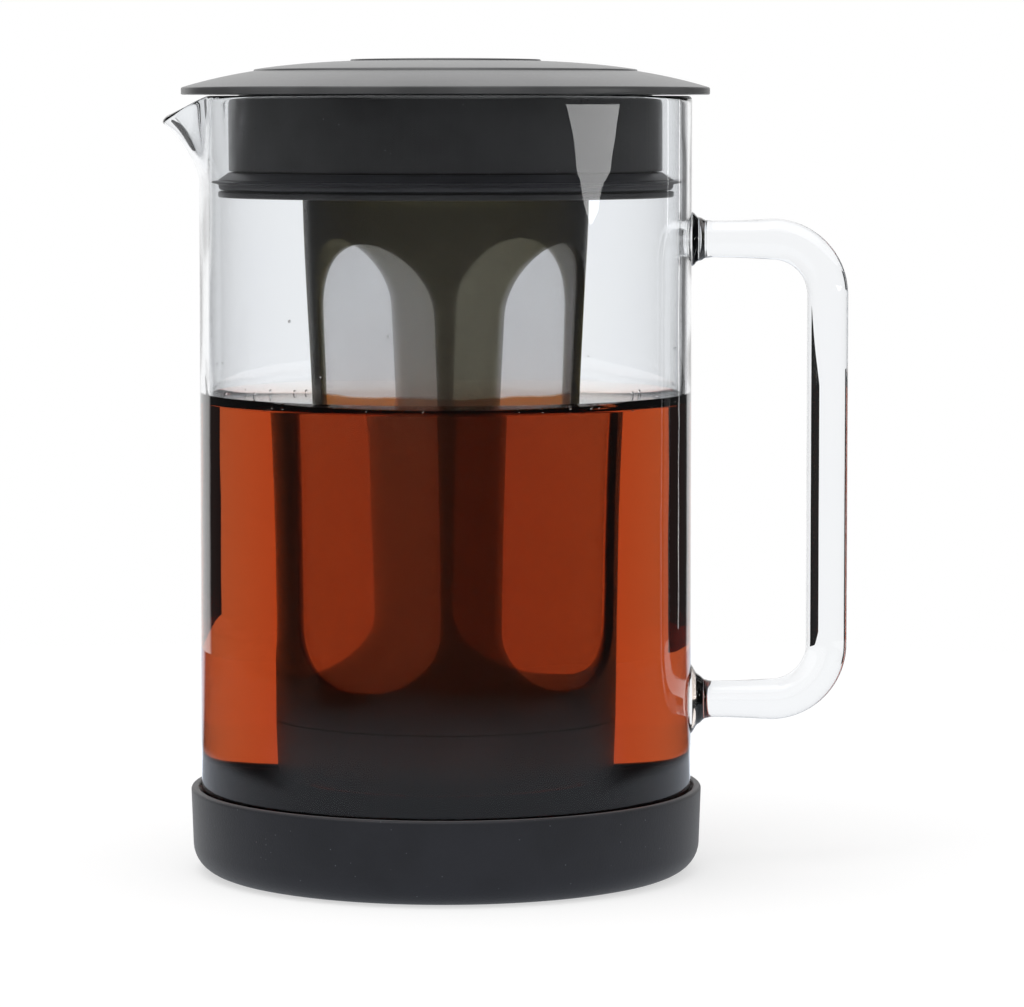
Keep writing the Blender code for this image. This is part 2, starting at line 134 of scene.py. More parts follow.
class Graph:
    """The node tree of a material or of the world."""

    def __init__(self, owner: bpy.types.Material | bpy.types.World) -> None:
        """Empty the owner's tree.

        Args:
            owner: the material or world that is given nodes.
        """
        owner.use_nodes = True
        self.tree = owner.node_tree
        self.tree.nodes.clear()

    def node(
        self,
        kind: str,
        settings: dict[str, Any] | None = None,
        inputs: dict[int | str, Any] | None = None,
        output: int | str = 0,
    ) -> Value:
        """Add a node.

        Args:
            kind: the node's type.
            settings: its properties, which are set first.
            inputs: its sockets' values or links, by index or name.
            output: the index or name of the socket that is returned.

        Returns:
            That output socket.
        """
        made = self.tree.nodes.new(kind)
        for key, value in (settings or {}).items():
            setattr(made, key, value)
        for key, value in (inputs or {}).items():
            if isinstance(value, Value):
                self.tree.links.new(value.socket, made.inputs[key])
            else:
                made.inputs[key].default_value = value
        return Value(self, made.outputs[output]) if len(made.outputs) else Value(self, made.inputs[0])

    def maths(self, operation: str, *operands: Value | float) -> Value:
        """Add a Math node."""
        return self.node("ShaderNodeMath", {"operation": operation}, dict(enumerate(operands)))

    def mix(self, share: Value | float, first: Value | Colour, second: Value | Colour) -> Value:
        """Mix two colours.

        Args:
            share: how much of the second colour shows.
            first: the first colour.
            second: the second colour.

        Returns:
            The mixed colour.
        """
        colours = [c if isinstance(c, Value) else (*c, 1.0) for c in (first, second)]
        inputs = {"Factor": share, 6: colours[0], 7: colours[1]}
        return self.node("ShaderNodeMix", {"data_type": "RGBA"}, inputs, output=2)

    def place(self) -> Value:
        """Return the point on the piece, in metres."""
        return self.node("ShaderNodeTexCoord", output="Object")

    def axes(self, point: Value) -> tuple[Value, Value, Value]:
        """Split a point into its three coordinates."""
        made = self.node("ShaderNodeSeparateXYZ", inputs={0: point}).socket.node
        return tuple(Value(self, made.outputs[axis]) for axis in range(3))

    def turned(self) -> tuple[Value, Value, Value]:
        """Return the point's distance from the jug's axis, its angle about it and its height."""
        across, deep, height = self.axes(self.place())
        return (across * across + deep * deep) ** 0.5, across.maths("ARCTAN2", deep), height

    def noise(self, scale: float, detail: float = 2.0, at: Value | None = None, roughness: float = 0.5) -> Value:
        """Add a noise texture.

        Args:
            scale: cells per metre.
            detail: octaves.
            at: the point that is looked up, or the point on the piece.
            roughness: how strong the finer octaves are.

        Returns:
            The noise, about 0.5.
        """
        inputs = {"Vector": at or self.place(), "Scale": scale, "Detail": detail, "Roughness": roughness}
        return self.node("ShaderNodeTexNoise", inputs=inputs)

    def specks(self, scale: float, size: float, amount: float) -> Value:
        """Scatter fine specks, such as dust.

        Args:
            scale: cells per metre.
            size: a speck's radius as a share of a cell.
            amount: the share of the cells that hold one.

        Returns:
            1 on a speck and 0 beside it.
        """
        cell = self.node("ShaderNodeTexVoronoi", inputs={"Vector": self.place(), "Scale": scale}).socket.node
        chosen = self.node("ShaderNodeSeparateColor", inputs={0: Value(self, cell.outputs["Color"])})
        near = Value(self, cell.outputs["Distance"]).step(size, size * 0.4)
        return near * chosen.step(1 - amount, 1 - amount * 0.8)

    def bump(self, height: Value, depth: float) -> Value:
        """Turn a height, from 0 to 1 times a depth in metres, into a normal."""
        return self.node("ShaderNodeBump", inputs={"Strength": 1.0, "Distance": depth, "Height": height})

    def principled(self, **inputs: Any) -> Value:
        """Add the surface shader, with its sockets by name and _ for a space."""
        named = {key.replace("_", " "): value for key, value in inputs.items()}
        return self.node("ShaderNodeBsdfPrincipled", inputs=named)

    def shader(self, kind: str, colour: Sequence[float] = WHITE, **inputs: Any) -> Value:
        """Add a plain shader of one colour."""
        return self.node("ShaderNode" + kind, inputs={"Color": tuple(colour), **inputs})

    def absorbing(self, absorption: Colour) -> Value:
        """Add a volume that swallows light.

        Args:
            absorption: how fast it swallows red, green and blue, per metre.

        Returns:
            The volume shader.
        """
        density = max(absorption) * 1.02
        kept = tuple(1 - part / density for part in absorption)
        return self.shader("VolumeAbsorption", (*kept, 1.0), Density=density)

    def blend(self, share: Value | float, first: Value, second: Value) -> Value:
        """Mix two shaders by the share of the second."""
        return self.node("ShaderNodeMixShader", inputs={0: share, 1: first, 2: second})

    def out(self, surface: Value, volume: Value | None = None, world: bool = False) -> None:
        """Connect the output node.

        Args:
            surface: the surface shader.
            volume: the volume shader, if there is one.
            world: whether the tree is the world's.
        """
        inputs = {"Surface": surface}
        if volume:
            inputs["Volume"] = volume
        self.node("ShaderNodeOutputWorld" if world else "ShaderNodeOutputMaterial", inputs=inputs)


def new_material(name: str) -> tuple[bpy.types.Material, Graph]:
    """Make a material with an empty graph."""
    material = bpy.data.materials.new(name)
    return material, Graph(material)


def shaded(colour: Colour, share: float) -> Colour:
    """Make a colour darker or paler, but no paler than white."""
    return tuple(min(1.0, part * share) for part in colour)


class Grain(Enum):
    """What the surface of a moulding is like."""

    SPARK_ERODED = "spark eroded"
    TURNED_RINGS = "turned rings"
    DRAWN = "drawn"
    SMOOTH = "smooth"


@dataclass(frozen=True)
class Moulding:
    """Finish of a moulded piece, in plastic or silicone, which is smoked where it absorbs light."""

    name: str
    colour: Colour
    dust: Colour
    roughness: float
    grain: Grain
    dust_amount: float
    sheen: float = 0.0
    specular: float = 0.5
    opacity: float = 1.0
    absorption: Colour | None = None

    def _relief(self, graph: Graph) -> tuple[Value, float]:
        """Make the relief of the surface.

        Args:
            graph: the material's graph.

        Returns:
            The height, and the depth in metres that 1 stands for.
        """
        if self.grain is Grain.SPARK_ERODED:
            return graph.noise(2400, 3), 0.000060
        if self.grain is Grain.SMOOTH:
            return graph.noise(160, 2), 0.000030
        radius, angle, height = graph.turned()
        rings = self.grain is Grain.TURNED_RINGS
        along, rise = (radius, height * 0.2) if rings else (angle * 0.05, height * 0.03)
        at = graph.node("ShaderNodeCombineXYZ", inputs={0: along, 1: 0.0, 2: rise})
        return (graph.noise(2600, 3, at, 0.7), 0.000030) if rings else (graph.noise(900, 3, at), 0.000025)

    def make(self) -> bpy.types.Material:
        """Return the finish as a material."""
        material, graph = new_material(self.name)
        mottle = graph.noise(55, 3)
        fine = graph.noise(1500, 2)
        dust = graph.specks(900, 0.16, self.dust_amount)
        ground = graph.mix(mottle.step(0.3, 0.7), shaded(self.colour, 0.80), shaded(self.colour, 1.20))
        relief, depth = self._relief(graph)
        shader = graph.principled(
            Base_Color=graph.mix(dust, ground, self.dust),
            Roughness=(mottle - 0.5) * 0.10 + (fine - 0.5) * 0.06 + dust * 0.2 + self.roughness,
            Normal=graph.bump(relief + dust * 0.5, depth),
            Sheen_Weight=self.sheen,
            Sheen_Roughness=0.4,
            Specular_IOR_Level=self.specular,
            Alpha=self.opacity,
        )
        graph.out(shader, graph.absorbing(self.absorption) if self.absorption else None)
        return material


@dataclass(frozen=True)
class ClearGlass:
    """Finish of clear glass, with a faint waviness."""

    name: str = "clear_glass"
    colour: Colour = (0.967, 0.981, 1.0)
    index: float = GLASS_INDEX

    def make(self) -> bpy.types.Material:
        """Return the finish as a material."""
        material, graph = new_material(self.name)
        wave = graph.noise(38, 1)
        shader = graph.principled(
            Base_Color=graph.mix(wave.step(0.3, 0.7), self.colour, shaded(self.colour, 1.006)),
            Roughness=0.0,
            IOR=self.index,
            Transmission_Weight=1.0,
            Normal=graph.bump(wave, 0.00018),
        )
        graph.out(shader)
        return material


@dataclass(frozen=True)
class Brew:
    """Finish of the coffee: a clear liquid that swallows blue and green.

    Its side lies inside the glass, so it bends no light: the glass's wetted face does that. Its top does.
    """

    level: float
    edge: float
    name: str = "coffee"
    absorption: Colour = (9.0, 32.0, 50.0)

    def make(self) -> bpy.types.Material:
        """Return the finish as a material."""
        material, graph = new_material(self.name)
        radius, _, height = graph.turned()
        top = radius.step(self.edge + 0.0003, self.edge + 0.0001)
        top = top * height.step(self.level - 0.002, self.level - 0.001)
        clear = {"Base_Color": WHITE, "Roughness": 0.0, "Transmission_Weight": 1.0}
        side, surface = (graph.principled(IOR=index, **clear) for index in (1.0, WATER_INDEX))
        graph.out(graph.blend(top, side, surface), graph.absorbing(self.absorption))
        return material


@dataclass(frozen=True)
class Weave:
    """Finish of the filter's mesh, a very fine weave that the light passes through.

    A thin brown band is painted across its front half at the coffee's edge. It is painted light that stands in for the
    coffee seen through its curved edge, and no stain.
    """

    name: str = "filter_weave"
    thread: Colour = (0.84, 0.88, 0.95)
    glow: Colour = (0.90, 0.94, 1.0)
    radius: float = 0.0315
    pitch: float = 0.00042
    opacity: float = 0.20
    contrast: float = 0.06
    shining_through: float = 0.50
    # Painted band: a brown tint that stands in for the coffee seen through its curved edge, on the front half only.
    painted_band_colour: Colour = (0.78, 0.46, 0.18)
    painted_band_foot: float = 0.1058
    painted_band_top: float = 0.1092
    painted_band_fade: float = 0.0008

    def make(self) -> bpy.types.Material:
        """Return the finish as a material."""
        material, graph = new_material(self.name)
        across, deep, height = graph.axes(graph.place())
        warp = (across.maths("ARCTAN2", deep) * (self.radius * TURN / self.pitch)).maths("SINE")
        weft = (height * (TURN / self.pitch)).maths("SINE")
        cloud = graph.noise(45, 3)
        thread = (warp * warp + weft * weft) * 0.5
        opacity = self.opacity + (thread - 0.5) * self.contrast + (cloud - 0.5) * 0.06
        front = graph.principled(
            Base_Color=graph.mix(cloud.step(0.35, 0.65), self.thread, shaded(self.thread, 0.92)),
            Roughness=0.55 + (cloud - 0.5) * 0.1,
            Normal=graph.bump(warp * weft, 0.00004),
        )
        back = graph.shader("BsdfTranslucent", (*self.glow, 1.0))
        clear = graph.shader("BsdfTransparent")
        # The painted band: brown tint across the front half at the coffee's edge, painted light and not a stain.
        painted_band_tint = graph.shader("BsdfTransparent", (*self.painted_band_colour, 1.0))
        ragged = height + (graph.noise(90, 3) - 0.5) * 0.0016
        painted_band_mask = ragged.step(self.painted_band_top, self.painted_band_top - self.painted_band_fade)
        painted_band_mask = painted_band_mask * ragged.step(self.painted_band_foot - self.painted_band_fade, self.painted_band_foot) * deep.step(0.004, -0.004)
        cloth = graph.blend(self.shining_through, front, back)
        graph.out(graph.blend(opacity, graph.blend(painted_band_mask, clear, painted_band_tint), cloth))
        return material


FINISHES = {
    finish.name: finish
    for finish in (
        ClearGlass(),
        Weave(),
        Moulding(
            "boot_silicone", (0.018, 0.0187, 0.0245), (0.13, 0.14, 0.16), 0.56, Grain.SPARK_ERODED, 0.10, sheen=0.34
        ),
        Moulding("lid_plastic", (0.090, 0.091, 0.093), (0.22, 0.22, 0.22), 0.34, Grain.TURNED_RINGS, 0.03),
        Moulding("plug_plastic", (0.042, 0.042, 0.044), (0.16, 0.16, 0.17), 0.30, Grain.DRAWN, 0.04, specular=0.4),
        Moulding("seal_silicone", (0.030, 0.031, 0.038), (0.13, 0.13, 0.14), 0.42, Grain.SMOOTH, 0.02),
        Moulding(
            "smoke_plastic",
            (0.050, 0.046, 0.036),
            (0.07, 0.065, 0.05),
            0.24,
            Grain.SMOOTH,
            0.01,
            opacity=0.35,
            absorption=(520.0, 555.0, 740.0),
        ),
    )
}


def arc(centre: Point, radius: float, start: float, end: float, steps: int) -> list[Point]:
    """Sample an arc between two angles in degrees, with both its ends."""
    angles = np.radians(np.linspace(start, end, steps + 1))
    return [(centre[0] + radius * math.cos(a), centre[1] + radius * math.sin(a)) for a in angles]


def rounded(corners: Sequence[tuple[float, ...]], steps: int, closed: bool = False) -> list[Point]:
    """Round the corners of an outline.

    Args:
        corners: (radius, height) or (radius, height, rounding) of each corner.
        steps: parts of each rounding.
        closed: whether the last corner joins the first.

    Returns:
        The outline's points.
    """
    points: list[Point] = []
    count = len(corners)
    for index, corner in enumerate(corners):
        here = np.array(corner[:2])
        if len(corner) < 3 or not (closed or 0 < index < count - 1):
            points.append(tuple(here))
            continue
        back = np.array(corners[index - 1][:2]) - here
        ahead = np.array(corners[(index + 1) % count][:2]) - here
        back /= np.linalg.norm(back)
        ahead /= np.linalg.norm(ahead)
        half = math.acos(max(-1.0, min(1.0, float(back @ ahead)))) / 2
        bisector = (back + ahead) / np.linalg.norm(back + ahead)
        centre = here + bisector * corner[2] / math.sin(half)
        first = here + back * corner[2] / math.tan(half) - centre
        last = here + ahead * corner[2] / math.tan(half) - centre
        sweep = math.pi - 2 * half
        for step in range(steps + 1):
            share = step / steps
            blend = math.sin((1 - share) * sweep) * first + math.sin(share * sweep) * last
            points.append(tuple(centre + blend / math.sin(sweep)))
    return points


def plain_mesh(name: str, corners: Sequence[Sequence[float]], faces: Sequence[Sequence[int]]) -> bpy.types.Mesh:
    """Make a mesh from its corners and faces."""
    mesh = bpy.data.meshes.new(name)
    mesh.from_pydata(corners, [], faces)
    return mesh


def linked(name: str, data: bpy.types.ID) -> bpy.types.Object:
    """Put an object into the scene."""
    made = bpy.data.objects.new(name, data)
    bpy.context.scene.collection.objects.link(made)
    return made


def finish_shape(mesh: bpy.types.Mesh, weld: bool = False) -> bpy.types.Mesh:
    """Make a closed mesh face outwards, or weld its doubled corners, and shade it smooth between its true edges.

    Args:
        mesh: the mesh.
        weld: whether it is welded and not turned outwards.

    Returns:
        The same mesh.
    """
    shape = bmesh.new()
    shape.from_mesh(mesh)
    if weld:
        bmesh.ops.remove_doubles(shape, verts=shape.verts, dist=WELD_DISTANCE)
    else:
        bmesh.ops.recalc_face_normals(shape, faces=shape.faces)
    shape.to_mesh(mesh)
    shape.free()
    mesh.shade_smooth()
    mesh.set_sharp_from_angle(angle=SHARP_ANGLE)
    return mesh


def bridge(low: Sequence[int], high: Sequence[int]) -> list[list[int]]:
    """Join two rings of corners with faces.

    Args:
        low: the corners of the first ring.
        high: the corners of the second ring.

    Returns:
        The faces, which are triangles where a ring is a point.
    """
    after = [(step + 1) % len(low) for step in range(len(low))]
    loops = [(low[step], low[then], high[then], high[step]) for step, then in enumerate(after)]
    return [list(dict.fromkeys(loop)) for loop in loops]


def rings_mesh(name: str, corners: Sequence[Corner], count: int, caps_first: bool = False) -> bpy.types.Mesh:
    """Join rings of corners into a solid with a flat face at both ends.

    Args:
        name: the mesh's name.
        corners: the corners, ring after ring.
        count: the corners of each ring.
        caps_first: whether the end faces come before the sides, with the second one turned round.

    Returns:
        The mesh, facing outwards.
    """
    rings = [range(start, start + count) for start in range(0, len(corners), count)]
    sides = [face for low, high in zip(rings, rings[1:]) for face in bridge(low, high)]
    if caps_first:
        faces = [tuple(rings[0]), tuple(reversed(rings[-1])), *sides]
    else:
        faces = [*sides, tuple(rings[0]), tuple(rings[-1])]
    return finish_shape(plain_mesh(name, corners, faces))


def turned_mesh(name: str, outline: Sequence[Point], steps: int, closed: bool = False) -> bpy.types.Mesh:
    """Turn an outline about Z into a closed mesh.

    Args:
        name: the mesh's name.
        outline: (radius, height) points. An open outline starts and ends on the axis.
        steps: facets round the axis.
        closed: whether the outline is a ring that stays clear of the axis.

    Returns:
        The mesh, facing outwards.
    """
    angles = np.arange(steps) * TURN / steps
    around = np.stack([np.cos(angles), np.sin(angles)], axis=1)
    corners: list[Corner] = []
    rings: list[list[int]] = []
    for radius, height in outline:
        start = len(corners)
        if radius < 1e-7:
            corners.append((0.0, 0.0, height))
            rings.append([start] * steps)
        else:
            corners += [(radius * x, radius * y, height) for x, y in around]
            rings.append(list(range(start, start + steps)))
    pairs = list(zip(rings, rings[1:]))
    if closed:
        pairs.append((rings[-1], rings[0]))
    return finish_shape(plain_mesh(name, corners, [face for pair in pairs for face in bridge(*pair)]))


def lug_blocks(name: str, low: Corner, high: Corner) -> list[bpy.types.Mesh]:
    """Make a block for each of the filter's lugs.

    Args:
        name: the meshes' name.
        low: the lowest corner of a block on the X axis.
        high: its highest corner.

    Returns:
        The blocks, turned about Z to the lugs.
    """
    ends = (low, high)
    corners = [(ends[i][0], ends[j][1], ends[k][2]) for i in (0, 1) for j in (0, 1) for k in (0, 1)]
    faces = [(0, 1, 3, 2), (4, 6, 7, 5), (0, 4, 5, 1), (2, 3, 7, 6), (0, 2, 6, 4), (1, 5, 7, 3)]
    blocks = []
    for number in range(LUG_COUNT):
        turn = LUG_TURN + TURN * number / LUG_COUNT
        cos, sin = math.cos(turn), math.sin(turn)
        blocks.append(plain_mesh(name, [(x * cos - y * sin, x * sin + y * cos, z) for x, y, z in corners], faces))
    return blocks


def settled(piece: bpy.types.Object) -> bpy.types.Mesh:
    """Read an object with its modifiers applied into a new mesh."""
    graph = bpy.context.evaluated_depsgraph_get()
    graph.update()
    return bpy.data.meshes.new_from_object(piece.evaluated_get(graph))


def combined(base: bpy.types.Mesh, tools: Sequence[bpy.types.Mesh], operation: str) -> bpy.types.Mesh:
    """Join tools to a mesh, or cut it by them.

    Args:
        base: the mesh.
        tools: the meshes that join or cut it.
        operation: UNION or DIFFERENCE.

    Returns:
        The result.
    """
    blank = linked("blank", base)
    helpers = [linked("tool", tool) for tool in tools]
    for helper in helpers:
        modifier = blank.modifiers.new("combine", "BOOLEAN")
        modifier.operation = operation
        modifier.object = helper
        modifier.solver = "EXACT"
    mesh = settled(blank)
    for used in [blank, *helpers]:
        bpy.data.objects.remove(used, do_unlink=True)
    return finish_shape(mesh, weld=True)


def push_out(vertex: bpy.types.MeshVertex, reach: float) -> None:
    """Move a corner away from the Z axis."""
    radius = math.hypot(vertex.co.x, vertex.co.y)
    vertex.co.x *= (radius + reach) / radius
    vertex.co.y *= (radius + reach) / radius


def add_piece(
    name: str,
    mesh: bpy.types.Mesh,
    body: Body,
    slot: str | None = None,
    stands_for: Sequence[str] = (),
    extra: Sequence[bpy.types.Material] = (),
) -> None:
    """Put a finished piece on its body.

    Args:
        name: the piece's name.
        mesh: its mesh, already in place.
        body: the body that it rides on.
        slot: the record's material slot that it takes its first finish from.
        stands_for: the CAD nodes that it replaces.
        extra: its other materials, in the order of its faces' material numbers.
    """
    mesh.name = name
    if not mesh.materials:
        for material in [*([slot_material(slot)] if slot else []), *extra]:
            mesh.materials.append(material)
    piece = linked(name, mesh)
    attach(piece, body.value)
    if stands_for:
        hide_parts(*stands_for)
    logging.info("%s: %d faces on %s", name, len(mesh.polygons), body.value)


@cache
def slot_material(slot: str) -> bpy.types.Material:
    """Make the material of one of the record's slots, only once."""
    return FINISHES[slot].make()


@dataclass
class Boot:
    """The soft cup under the jug."""

    inner_radius: float = 0.0560
    wall: float = 0.0021
    floor: float = 0.0022
    height: float = 0.0192
    draw: float = 0.0007
    inner_rounding: float = 0.0062
    foot_rounding: float = 0.0065
    lip_rounding: float = 0.0007
    bead_height: float = 0.0011
    bead_reach: float = 0.0003
    steps: int = 224

    def build(self) -> None:
        """Turn the cup with its thin bead inside the lip."""
        outer = self.inner_radius + self.wall
        reach = self.inner_radius + self.bead_reach
        bead = self.height - self.bead_height
        outline = rounded(
            [
                (0.0, self.floor),
                (self.inner_radius, self.floor, self.inner_rounding),
                (self.inner_radius, bead, 0.0002),
                (reach, bead + 0.0002, 0.0001),
                (reach, self.height, 0.0004),
                (outer, self.height, self.lip_rounding),
                (outer - self.draw, 0.0, self.foot_rounding),
                (0.0, 0.0),
            ],
            steps=10,
        )
        mesh = turned_mesh("boot_cup", outline, self.steps)
        add_piece("boot_cup", mesh, Body.BOOT, "boot_silicone", ["boot"])


@dataclass
class GlassJug:
    """The glass jug with its drawn spout and its fused rod handle."""

    foot_height: float = 0.0025
    radius: float = 0.0557
    wall: float = 0.0022
    floor: float = 0.0035
    height: float = 0.1732
    foot_rounding: float = 0.0062
    inner_rounding: float = 0.0045
    rim_rounding: float = 0.0009
    spout_reach: float = 0.0094
    spout_drop: float = 0.0042
    spout_tilt: float = math.radians(50)
    spout_depth: float = 0.0190
    spout_half_width: float = 0.0170
    spout_flare_share: float = 1.35
    spout_sag_share: float = 2.4
    grip_radius: float = 0.00465
    arm_radius: float = 0.00415
    handle_reach: float = 0.0309
    bend_radius: float = 0.0127
    bend_steps: int = 22
    handle_drop: float = 0.0323
    handle_rise: float = 0.0361
    upper_foot_radius: float = 0.0062
    lower_foot_radius: float = 0.0080
    foot_length: float = 0.0048
    foot_sunk: float = 0.0012
    foot_ripple: float = 0.00022
    dimple_depth: float = 0.0007
    dimple_share: float = 1.25
    brew_level: float = 0.1062
    meniscus_rise: float = 0.0027
    rows: int = 56
    spout_rows: int = 18
    steps: int = 256
    rod_steps: int = 40

    @property
    def inner_radius(self) -> float:
        """Radius of the inside of the wall."""
        return self.radius - self.wall

    @property
    def contact_height(self) -> float:
        """Height at which the coffee's surface meets the glass."""
        return self.brew_level + self.meniscus_rise

    def _draw_spout(self, mesh: bpy.types.Mesh) -> None:
        """Swell the wall outwards and downwards at the spout, and tilt it with the swell.

        Args:
            mesh: the turned jug, with its foot at height 0.
        """
        half_angle = self.spout_half_width / self.radius
        root = self.height - self.spout_depth
        for vertex in mesh.vertices:
            height = (vertex.co.z - root) / self.spout_depth
            off_middle = abs(math.atan2(vertex.co.y, -vertex.co.x)) / half_angle
            if height <= 0 or off_middle >= 1:
                continue
            across = 0.5 + 0.5 * math.cos(math.pi * off_middle)
            tilt = self.spout_tilt * across * height
            in_wall = math.hypot(vertex.co.x, vertex.co.y) - self.inner_radius
            outward = self.spout_reach * across * height ** self.spout_flare_share
            push_out(vertex, outward - in_wall * (1 - math.cos(tilt)))
            vertex.co.z -= self.spout_drop * across * height ** self.spout_sag_share + in_wall * math.sin(tilt)

    def _dimple(self, mesh: bpy.types.Mesh) -> None:
        """Push the inside of the wall in a little behind each foot of the handle.

        Args:
            mesh: the turned jug, with its foot at height 0.
        """
        feet = [(self.height - self.handle_drop, self.upper_foot_radius), (self.handle_rise, self.lower_foot_radius)]
        for vertex in mesh.vertices:
            radius = math.hypot(vertex.co.x, vertex.co.y)
            if vertex.co.x <= 0 or abs(radius - self.inner_radius) > 0.0001:
                continue
            for height, foot_radius in feet:
                off = math.hypot(vertex.co.y, vertex.co.z - height) / (foot_radius * self.dimple_share)
                if off < 1:
                    push_out(vertex, -self.dimple_depth * (0.5 + 0.5 * math.cos(math.pi * off)))

    def _wall_mesh(self) -> bpy.types.Mesh:
        """Return the turned wall with its spout, in place."""
        inner = self.inner_radius
        root = self.height - self.spout_depth
        low = self.floor + self.inner_rounding
        top = self.height - self.rim_rounding
        heights = list(np.linspace(low, root, self.rows))[1:]
        heights += list(np.linspace(root, top, self.spout_rows))[1:-1]
        contact = self.contact_height - self.foot_height
        heights = sorted([height for height in heights if abs(height - contact) > 0.0006] + [contact])
        outline = [(0.0, self.floor), (inner * 0.5, self.floor)]
        outline += arc((inner - self.inner_rounding, low), self.inner_rounding, -90, 0, 10)
        outline += [(inner, height) for height in heights]
        outline += arc((inner + self.rim_rounding, top), self.rim_rounding, 180, 90, 5)
        outline += arc((self.radius - self.rim_rounding, top), self.rim_rounding, 90, 0, 5)
        outline += [(self.radius, height) for height in reversed(heights)]
        outline += arc((self.radius - self.foot_rounding, self.foot_rounding), self.foot_rounding, 0, -90, 12)
        outline += [(inner * 0.5, 0.0), (0.0, 0.0)]
        mesh = turned_mesh("wall", outline, self.steps)
        self._draw_spout(mesh)
        self._dimple(mesh)
        for vertex in mesh.vertices:
            vertex.co.z += self.foot_height
        return mesh

    def _foot_route(self, height: float, foot_radius: float) -> list[Corner]:
        """Follow one flared foot from inside the wall to the plain arm.

        Args:
            height: the arm's height.
            foot_radius: the foot's radius at the wall.

        Returns:
            (distance from the axis, height, radius) of each section.
        """
        sections = []
        for share in np.linspace(0, 1, 15):
            out = -self.foot_sunk + share * (self.foot_length + self.foot_sunk)
            along = max(0.0, out / self.foot_length)
            swell = (foot_radius - self.arm_radius) * (1 - along) ** 2
            ripple = self.foot_ripple * math.sin(along * 17) * (1 - along)
            sections.append((self.radius + out, height, self.arm_radius + swell + ripple))
        return sections

    def _rod_mesh(self) -> bpy.types.Mesh:
        """Return the bent rod, with both ends sunk in the wall."""
        upper = self.foot_height + self.height - self.handle_drop
        lower = self.foot_height + self.handle_rise
        grip = self.radius + self.handle_reach
        bend = grip - self.bend_radius
        high, low = upper - self.bend_radius, lower + self.bend_radius
        route = self._foot_route(upper, self.upper_foot_radius)
        start = route[-1][0]
        swell = self.grip_radius - self.arm_radius
        shares = np.linspace(0.15, 0.9, 6)
        arm = [(start + (bend - start) * s, self.arm_radius + swell * s * s) for s in shares]
        line = arc((bend, high), self.bend_radius, 90, 0, self.bend_steps)
        line += [(grip, z) for z in np.linspace(high, low, 24)[1:-1]]
        line += arc((bend, low), self.bend_radius, 0, -90, self.bend_steps)
        route += [(x, upper, radius) for x, radius in arm]
        route += [(x, z, self.grip_radius) for x, z in line]
        route += [(x, lower, radius) for x, radius in reversed(arm)]
        route += reversed(self._foot_route(lower, self.lower_foot_radius))
        return self._sweep(route)

    def _sweep(self, route: Sequence[Corner]) -> bpy.types.Mesh:
        """Sweep a circle along a route in the XZ plane.

        Args:
            route: (x, z, radius) of each section.

        Returns:
            The closed rod.
        """
        ahead = np.gradient(np.array([(x, z) for x, z, _ in route]), axis=0)
        ahead /= np.linalg.norm(ahead, axis=1)[:, None]
        corners = []
        for (x, z, radius), (dx, dz) in zip(route, ahead):
            for step in range(self.rod_steps):
                turn = TURN * step / self.rod_steps
                off = radius * math.sin(turn)
                corners.append((x - dz * off, radius * math.cos(turn), z + dx * off))
        return rings_mesh("rod", corners, self.rod_steps)

    def build(self) -> None:
        """Fuse the rod to the wall and mark the wetted part of the inside."""
        mesh = combined(self._wall_mesh(), [self._rod_mesh()], "UNION")
        reach = self.inner_radius + 0.0003
        for face in mesh.polygons:
            x, y, z = face.center
            inside = math.hypot(x, y) < reach and self.foot_height + 0.002 < z < self.contact_height
            face.material_index = 1 if inside else 0
        wetted = ClearGlass("wetted_glass", (1.0, 1.0, 1.0), GLASS_INDEX / WATER_INDEX).make()
        add_piece("glass_jug", mesh, Body.CARAFE, "clear_glass", ["carafe", "carafe_handle"], [wetted])


